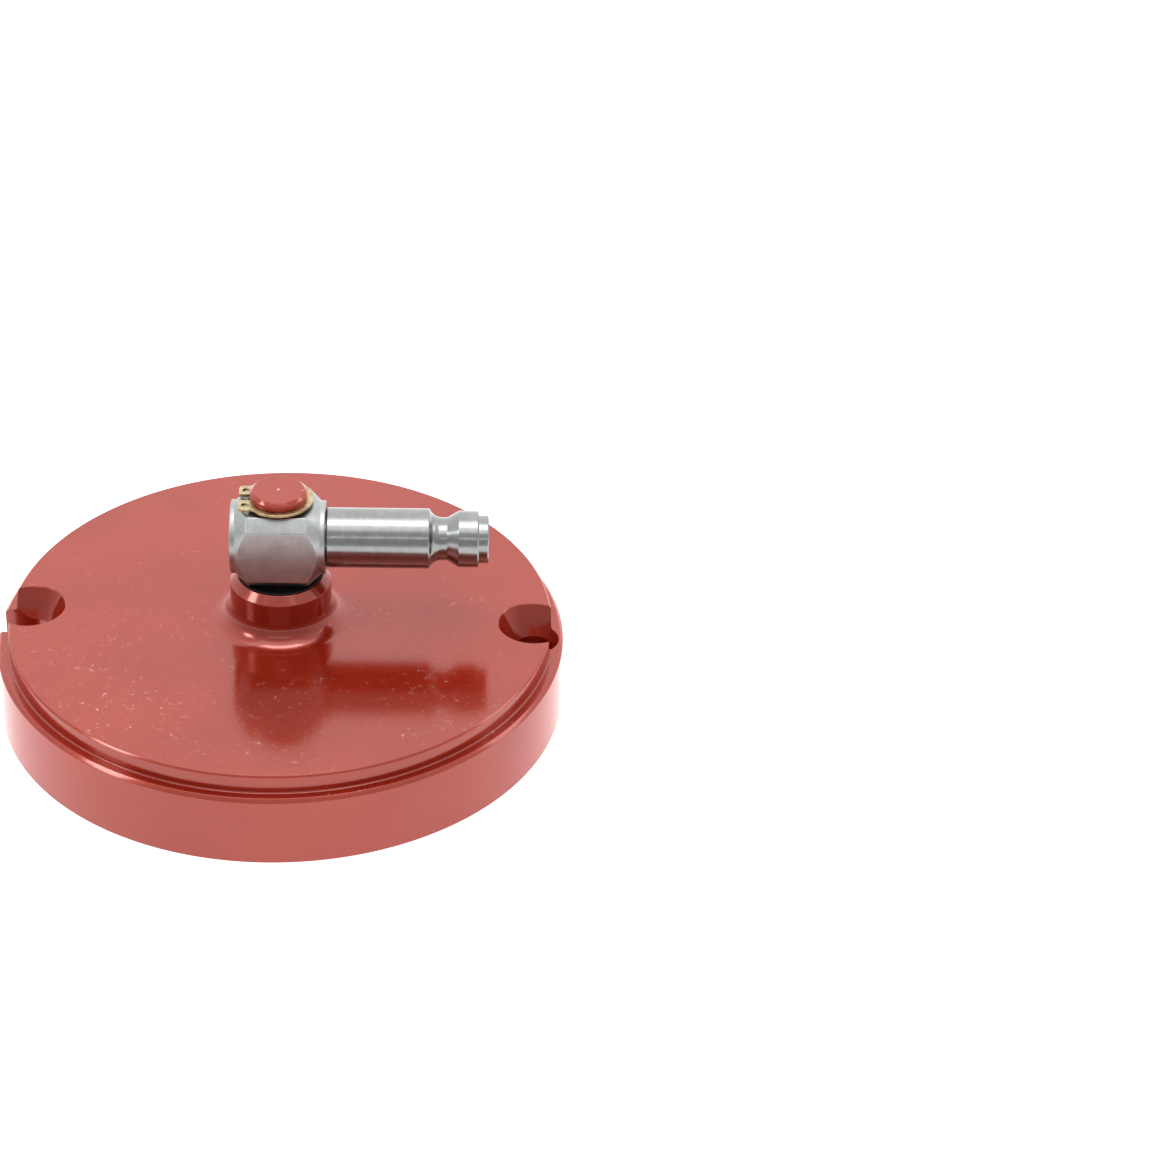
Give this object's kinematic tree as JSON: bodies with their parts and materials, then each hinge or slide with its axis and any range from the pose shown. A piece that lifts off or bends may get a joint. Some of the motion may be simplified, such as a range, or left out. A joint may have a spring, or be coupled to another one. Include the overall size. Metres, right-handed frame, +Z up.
{
  "type": "vacuum suction cup",
  "caption": "Round vacuum suction cup: a metal housing with a domed rubber pad below and a swivelling hose connector on top.",
  "frame": {"origin": "on the housing's axis, at the face of the centre screw that the cup stands on", "axes": "+Z up along the housing's axis, towards the spindle; +X from the axis to the housing's screw hole, with the open slot on -X"},
  "size_m": [0.0998, 0.1, 0.0478],
  "materials": {
    "red_anodised": "turned, red anodised, satin",
    "turned_steel": "fine turned, bright",
    "yellow_zinc": "yellow zinc plated",
    "plain_aluminium": "turned, plain",
    "black_rubber": "moulded, satin",
    "black_nylon": "matt"
  },
  "bodies": {
    "cup": {"housing": "red_anodised", "suction_pad": "black_rubber", "pad_former": "plain_aluminium", "centre_screw": "turned_steel", "screw_o_ring": "black_rubber", "thrust_washer": "black_nylon", "lower_o_ring": "black_rubber", "upper_o_ring": "black_rubber", "circlip": "yellow_zinc"},
    "swivel": {"swivel_block": "turned_steel", "coupling_nipple": "turned_steel", "nipple_o_ring": "black_rubber"}
  },
  "joints": [
    {"name": "swivel_turn", "type": "hinge", "parent": "cup", "child": "swivel", "pos_m": [0, 0, 0.03805], "axis": [0, 0, 1], "continuous": true}
  ]
}
